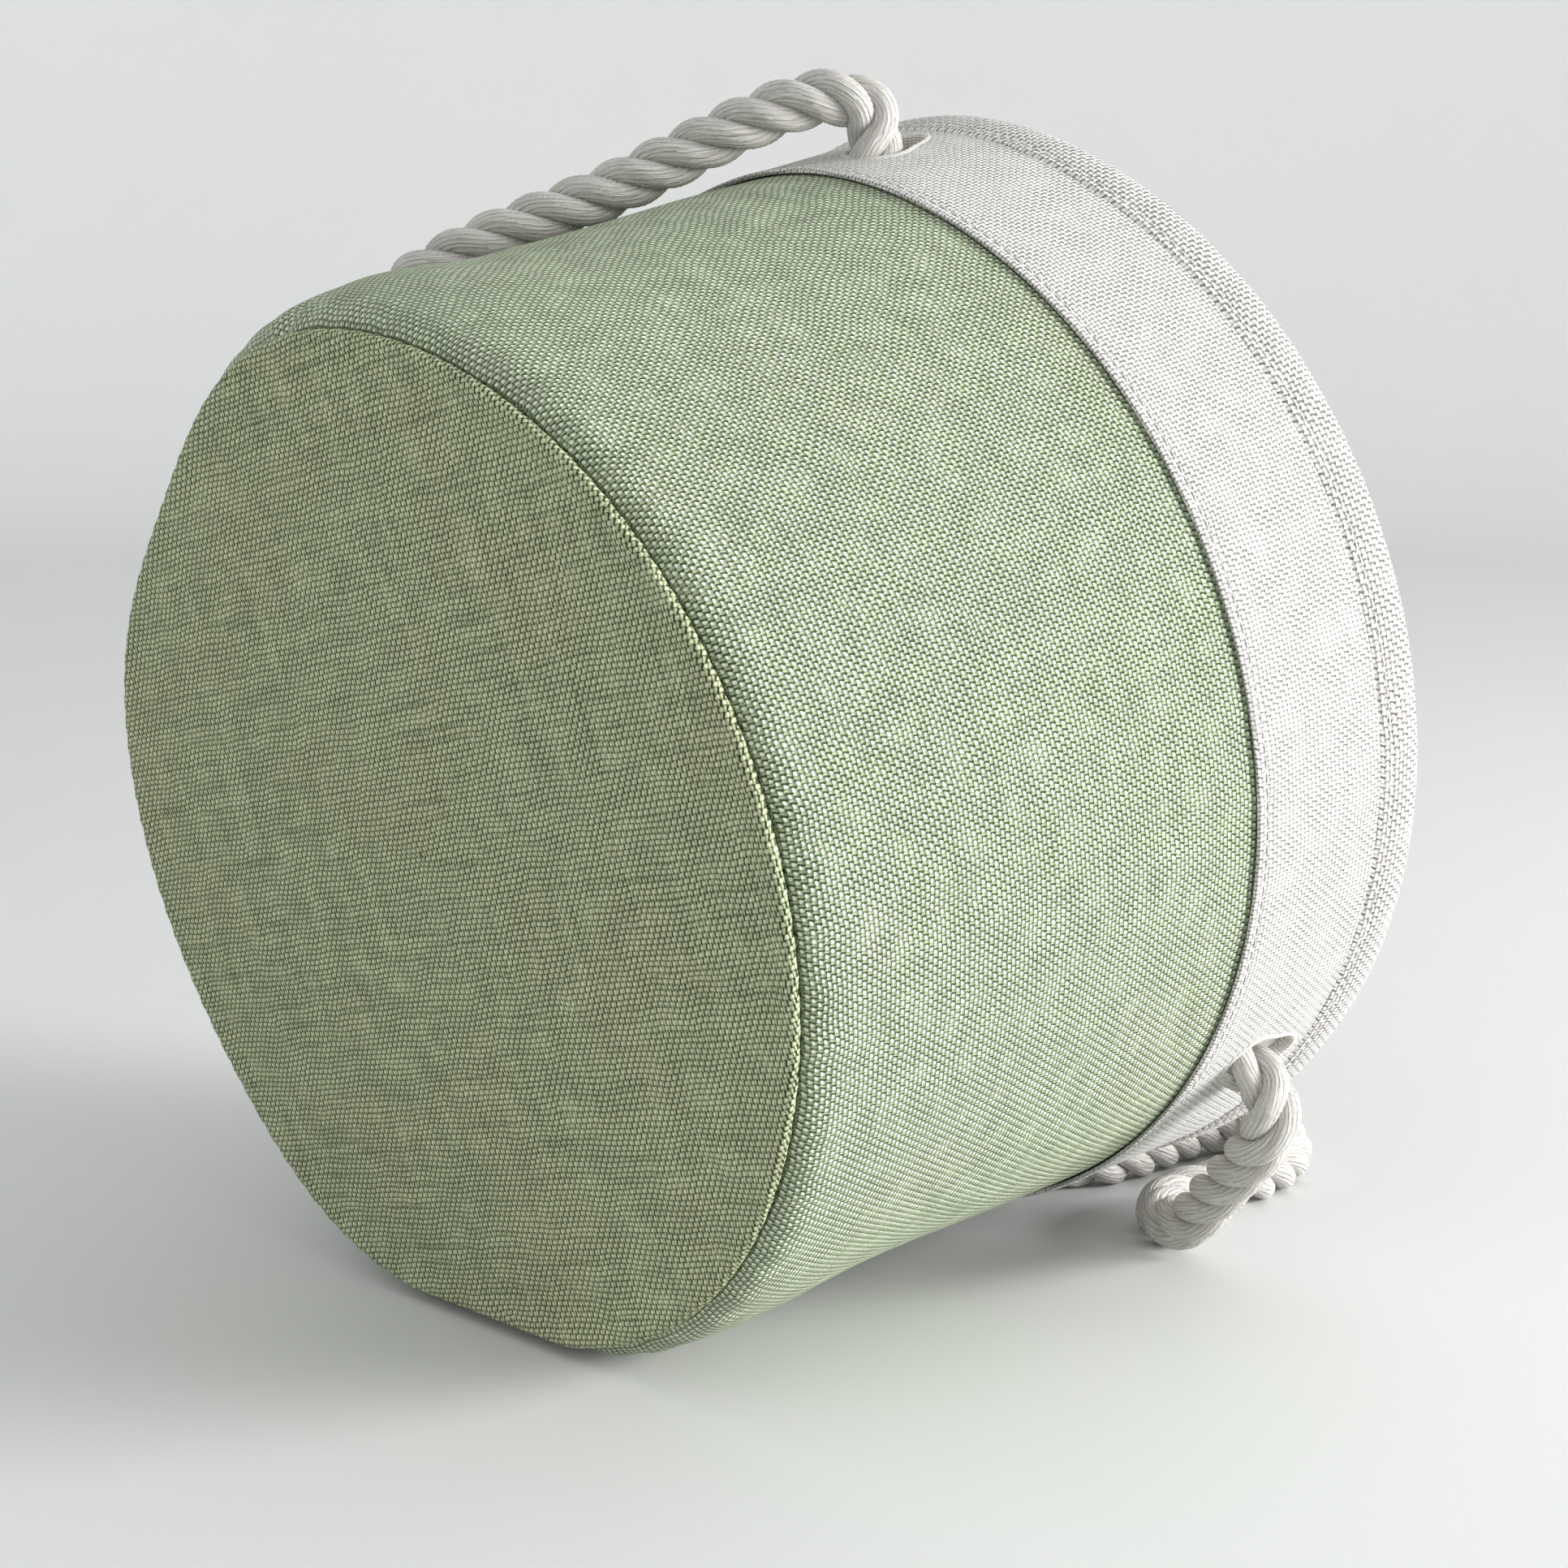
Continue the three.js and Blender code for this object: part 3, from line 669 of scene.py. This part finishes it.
def slit_reach(direction):
    """Distance from a slit's middle to its edge: round below, drawn to a point at the rim side."""
    return SLIT_HALF_WIDTH + (SLIT_TIP - SLIT_HALF_WIDTH) * np.maximum(np.cos(direction), 0) ** 6


def open_slits(angle, height, faces, margin=0.0):
    """Drops the faces inside each slit, and draws what is left up to its edge."""
    for middle in SLITS.values():
        radius = wall_radius(np.array(float(middle)), SLIT_HEIGHT)
        across = np.radians(angle_between(angle, middle)) * radius
        up = height - SLIT_HEIGHT
        direction = np.arctan2(across, up)
        reach = slit_reach(direction) + margin
        inside = np.hypot(across, up) < reach
        faces = faces[inside[faces].sum(axis=1) < 3]
        angle = np.where(inside, middle + np.degrees(reach * np.sin(direction) / radius), angle)
        height = np.where(inside, SLIT_HEIGHT + reach * np.cos(direction), height)
    return angle, height, faces


def seam_sunk(angles, seam_width=1.6):
    """How deep each angle lies in the two upright seams, from 0 beside them to 1 in them."""
    nearest = np.minimum(np.abs(angle_between(angles, SEAM_ANGLE)),
                         np.abs(angle_between(angles, SEAM_ANGLE + 180)))
    return np.exp(-((nearest / seam_width) ** 2))


def unevenness(angle, height):
    """Small soft waves of the sewn cloth, with gathers beside the base seam."""
    turn = np.radians(angle)
    waves = np.sin(5 * turn + 38 * height) * np.sin(3 * turn - 27 * height + 1.3)
    waves = waves + 0.5 * np.sin(11 * turn - 55 * height + 0.4)
    gathers = np.sin(71 * turn + 2.5 * np.sin(6 * turn)) * np.exp(-(((height - 0.006) / 0.006) ** 2))
    fade = np.clip((0.121 - height) / 0.02, 0, 1) * np.clip(height / 0.006, 0, 1)
    pinch = 0.0006 * np.clip((0.121 - height) / 0.003, 0, 1) + 0.0013 * np.exp(-((height / 0.014) ** 2))
    return 0.00028 * waves * fade + 0.00018 * gathers - pinch * seam_sunk(angle)


def swept(name, section, angles, material, nodes, flip=False, slits=None, waves=0.0):
    """A skin whose section, (lift, height) points, runs round the wall through the angles.

    Slits is the margin left round each slit, or None for no slits, and waves is how much of
    the sewn cloth's unevenness it has.
    """
    section, angles = np.asarray(section, float), np.asarray(angles, float)
    lift = np.broadcast_to(section[None, :, 0], (len(angles), len(section))).ravel()
    height = np.broadcast_to(section[None, :, 1], (len(angles), len(section))).ravel()
    angle = np.repeat(angles, len(section))
    girth = np.concatenate([[0], np.cumsum(np.linalg.norm(np.diff(section, axis=0), axis=1))])
    v = np.tile(girth, len(angles))
    faces = sheet_faces(len(angles), len(section), flip)
    if slits is not None:
        before = height
        angle, height, faces = open_slits(angle, height, faces, slits)
        v = v + np.sign(section[-1, 1] - section[0, 1]) * (height - before)
    u = np.radians(angle) * MEAN_RADIUS
    points = place(angle, height, lift + waves * unevenness(angle, height))
    return add_piece(name, points, [faces], np.stack([u, v], axis=1), material, nodes)


def millimetres(*points):
    """A section drawn in millimetres, in metres."""
    return [(lift / 1000, height / 1000) for lift, height in points]


def wall_cloth(name, start, node):
    """Half of the wall: rolled in at the base seam, and up under the cuff to the rim."""
    roll = millimetres((-4.6, 4.4), (-4.5, 3.5), (-4.1, 2.85), (-3.4, 2.7), (-2.6, 3.05), (-1.8, 3.8),
                       (-1.05, 4.8), (-0.5, 6.0), (-0.15, 7.5), (0, 9.2))
    body = [(0, height) for height in np.arange(0.0105, 0.1255, 0.002)]
    top = [(0, height) for height in np.arange(0.1265, 0.1665, FINE)]
    angles = np.linspace(start, start + 180, 257)
    piece = swept(name, roll + body + top, angles, sage, [node], slits=0.0012, waves=1.0)


def disc_piece(name, profile, material, nodes, flip=False, crown=0.0, gathers=0.0):
    """A round panel. The profile's (inset, height) points run from its edge, and then it is flat."""
    angles = np.linspace(0, 360, 361)
    inner = np.linspace(0.96, 0.0, 26)
    edge = np.asarray(profile, float)
    rows = []
    for inset, height in edge:
        radius = wall_radius(angles, 0.0 * angles) - inset
        ruck = gathers * np.sin(np.radians(angles) * 118) * math.exp(-(((inset - 0.0035) / 0.0016) ** 2))
        rows.append((radius, height + ruck))
    last_radius = rows[-1][0]
    for share in inner:
        soft = crown * (1 - share**2) * (0.6 + 0.4 * np.sin(np.radians(angles) * 2 + 3 * share))
        rows.append((last_radius * share, edge[-1, 1] + soft))
    radius, height = (np.array(part).T for part in zip(*rows))
    turn = np.radians(angles)[:, None]
    across, up = radius * np.sin(turn), radius * np.cos(turn)
    points = BASE_CENTRE + across[..., None] * SIDE + up[..., None] * TOP + height[..., None] * AXIS
    faces = sheet_faces(*radius.shape, flip)
    bent = np.linalg.norm(np.diff(edge, axis=0), axis=1) - np.abs(np.diff(edge[:, 0]))
    carried = np.zeros(radius.shape[1])
    carried[:len(bent)] = np.cumsum(bent[::-1])[::-1]
    cloth = 1 + carried / np.maximum(radius, 0.01)
    uvs = np.stack([across * cloth, up * cloth], axis=2)
    return add_piece(name, points, [faces], uvs, material, nodes)


def slit_edging(slit):
    """The cuff's edge turned in round a slit: a soft lip outside, a sleeve through, a lip inside."""
    profile = millimetres((1.5, 1.2), (1.25, 1.45), (0.85, 1.65), (0.4, 1.65), (0.0, 1.4), (-0.2, 0.9),
                          (-0.2, -0.4), (-0.15, -2.4), (0.0, -3.8), (0.5, -4.35), (1.2, -4.4),
                          (1.8, -3.95))
    direction = np.linspace(0, 2 * math.pi, 97)
    middle = SLITS[slit]
    radius = wall_radius(np.array(float(middle)), SLIT_HEIGHT)
    margin, lift = np.array(profile).T
    reach = slit_reach(direction)[:, None] + margin[None]
    angle = middle + np.degrees(reach * np.sin(direction)[:, None] / radius)
    height = SLIT_HEIGHT + reach * np.cos(direction)[:, None]
    points = place(angle, height, np.broadcast_to(lift, angle.shape))
    girth = np.concatenate([[0], np.cumsum(np.linalg.norm(np.diff(profile, axis=0), axis=1))])
    u = np.broadcast_to((direction * 0.009)[:, None], angle.shape)
    v = np.broadcast_to(girth, angle.shape)
    add_piece(f"slit_edge_{slit}", points, [sheet_faces(*angle.shape)], np.stack([u, v], axis=2),
              linen, [f"slit_edging_{slit}"])


def stitches(name, lift, height, length, radius, material, nodes, dip):
    """A row of machine stitches round the bin, each dipping into the cloth at its ends."""
    girth = 2 * math.pi * (BASE_RADIUS + (RIM_RADIUS - BASE_RADIUS) * height / HEIGHT)
    count = int(round(girth / STITCH_PITCH))
    middle = np.arange(count) * 360 / count
    along = np.linspace(-1, 1, STITCH_POINTS)
    around = np.linspace(0, 2 * math.pi, STITCH_POINTS)
    half = np.degrees(length / 2 / (BASE_RADIUS + lift))
    thick = radius * np.sqrt(np.maximum(0.04, 1 - along**6))[None, :, None]
    grid = (count, STITCH_POINTS, STITCH_POINTS)
    angle = np.broadcast_to(middle[:, None, None] + half * along[None, :, None], grid)
    rise = np.broadcast_to((dip * (1 - 1.6 * along**2))[None, :, None] + thick * np.sin(around), grid)
    across = np.broadcast_to(height + thick * np.cos(around), grid)
    points = place(angle, across, lift + rise)
    first = np.arange(count)[:, None, None] * STITCH_POINTS**2
    faces = (first + sheet_faces(STITCH_POINTS, STITCH_POINTS)[None]).reshape(-1, 4)
    u = np.radians(angle) * MEAN_RADIUS
    v = np.broadcast_to(around * radius, grid)
    add_piece(name, points, [faces], np.stack([u, v], axis=3), material, nodes)


WHOLE = np.linspace(SEAM_ANGLE - 180, SEAM_ANGLE + 180, 601)

wall_cloth("wall_cloth_far", SEAM_ANGLE, "wall_fabric_far")
wall_cloth("wall_cloth_near", SEAM_ANGLE + 180, "wall_fabric_near")

BASE_EDGE = millimetres((4.7, 3.6), (4.2, 2.75), (3.5, 2.25), (3.0, 1.6), (2.85, 0.9), (3.05, 0.2),
                        (3.6, -0.3), (4.5, -0.45), (5.8, -0.35), (7.5, -0.1), (10, 0.0))
base = disc_piece("base_cloth", BASE_EDGE, sage_painted_shade_base, ["base_fabric"], crown=-0.0005,
                  gathers=0.00015)

cuff_section = millimetres((0.35, 123), (0.35, 120.2), (0.45, 119.3), (0.8, 118.85), (1.2, 118.9),
                           (1.5, 119.35), (1.55, 120.1), (1.35, 120.9), (1.0, 121.6), (1.2, 122.4),
                           (1.3, 123.4)) + [(0.0013, height) for height in np.arange(0.1245, 0.157, FINE)]
cuff = swept("cuff", cuff_section, WHOLE, cream, ["cuff_band"], slits=0.0)

binding_section = millimetres((1.2, 155.6), (1.55, 155.9), (1.85, 156.4), (1.95, 157.2), (1.9, 157.8),
                              (1.85, 158.1), (1.95, 158.5), (2.2, 159.3), (2.4, 160.6), (2.5, 162.2),
                              (2.5, 163.9), (2.25, 165.5), (1.75, 166.8), (0.95, 167.7), (-0.1, 168.15),
                              (-1.3, 168.3), (-2.5, 168.15), (-3.55, 167.7), (-4.35, 166.8),
                              (-4.85, 165.5), (-5.1, 163.9), (-5.15, 162), (-5.1, 160), (-4.95, 158.4),
                              (-4.75, 158.0), (-4.9, 157.4), (-4.95, 156.4), (-4.7, 155.7),
                              (-4.2, 155.4), (-3.9, 155.6))
binding = swept("rim_tape", binding_section, WHOLE, cream_tape, ["rim_binding"])

lining_section = millimetres((-6.2, 4.45), (-5.0, 4.8), (-4.2, 5.8), (-3.85, 7.4)) + \
    [(-0.0038, height) for height in np.arange(0.0095, 0.126, 0.0025)] + \
    [(-0.0038, height) for height in np.arange(0.127, 0.158, FINE)]
lining = swept("lining_of_wall", lining_section, WHOLE, linen, ["lining_wall"], flip=True,
               slits=0.0, waves=0.6)

LINING_EDGE = millimetres((4.6, 5.6), (4.75, 4.9), (5.3, 4.5), (6.5, 4.4), (9, 4.4))
lining_base = disc_piece("lining_of_base", LINING_EDGE, linen, ["lining_base"], flip=True,
                         crown=0.0004)

for slit_name in SLITS:
    slit_edging(slit_name)

stitches("base_seam_stitches", lift=-0.0038, height=0.00255, length=0.0024, radius=0.00030,
         material=sage_thread, nodes=["base_seam_thread"], dip=0.0003)
stitches("cuff_stitches", lift=0.0011, height=0.1216, length=0.0026, radius=0.00022,
         material=cream_thread, nodes=["cuff_thread"], dip=0.00018)
stitches("rim_stitches", lift=0.00185, height=0.1581, length=0.0026, radius=0.00022,
         material=cream_thread, nodes=["rim_thread"], dip=0.00018)

board_heights = np.linspace(0.008, 0.165, 40)
board_section = [(-0.0012, height) for height in board_heights[::-1]] + \
    [(-0.0028, height) for height in board_heights]
swept("board_of_wall", board_section, WHOLE[::2], greyboard, ["wall_board"])
BOARD_EDGE = millimetres((7, 3.4), (7, 1.6), (8, 1.5))
disc_piece("board_of_base", BOARD_EDGE, greyboard, ["base_board"])

# ---- studio ----

FLOOR_REACH = 1.5
CORNER = 0.6
WALL_TOP = 2.1


def studio():
    """A round pale floor that curves up into a wall all the way round, open above."""
    bend = np.linspace(0, math.pi / 2, 13)
    reach = [0, 0.3, 0.7, 1.1, *(FLOOR_REACH + CORNER * np.sin(bend)), FLOOR_REACH + CORNER]
    rise = [0, 0, 0, 0, *(CORNER * (1 - np.cos(bend))), WALL_TOP]
    turn = np.linspace(0, 2 * math.pi, 97)[:, None]
    up = np.broadcast_to(rise, (len(turn), len(rise)))
    points = np.stack([np.array(reach) * np.cos(turn), np.array(reach) * np.sin(turn), up], axis=2)
    mesh = bpy.data.meshes.new("studio")
    mesh.from_pydata(points.reshape(-1, 3).tolist(), [], sheet_faces(*up.shape).tolist())
    mesh.shade_smooth()
    mesh.materials.append(studio_finish("studio_paper", (0.67, 0.675, 0.67)))
    floor = bpy.data.objects.new("studio", mesh)
    bpy.context.scene.collection.objects.link(floor)


def area_light(name, place_at, aim, size, watts):
    """A round soft light that faces the point it is aimed at."""
    data = bpy.data.lights.new(name, "AREA")
    data.shape = "DISK"
    data.size = size
    data.energy = watts
    light = bpy.data.objects.new(name, data)
    light.location = place_at
    towards = np.array(aim) - np.array(place_at)
    level = math.hypot(towards[0], towards[1])
    light.rotation_euler = (math.atan2(level, -towards[2]), 0, math.atan2(-towards[0], towards[1]))
    bpy.context.scene.collection.objects.link(light)


studio()
area_light("key", (0.97, -1.30, 0.38), (0.0, 0.0, 0.12), size=0.9, watts=51)
area_light("fill", (-1.1, -0.5, 0.9), (0.0, 0.0, 0.1), size=1.2, watts=2)
world = bpy.data.worlds.new("sky")
world.use_nodes = True
world.node_tree.nodes["Background"].inputs["Color"].default_value = (0.97, 0.99, 1.0, 1)
world.node_tree.nodes["Background"].inputs["Strength"].default_value = 0.88
bpy.context.scene.world = world
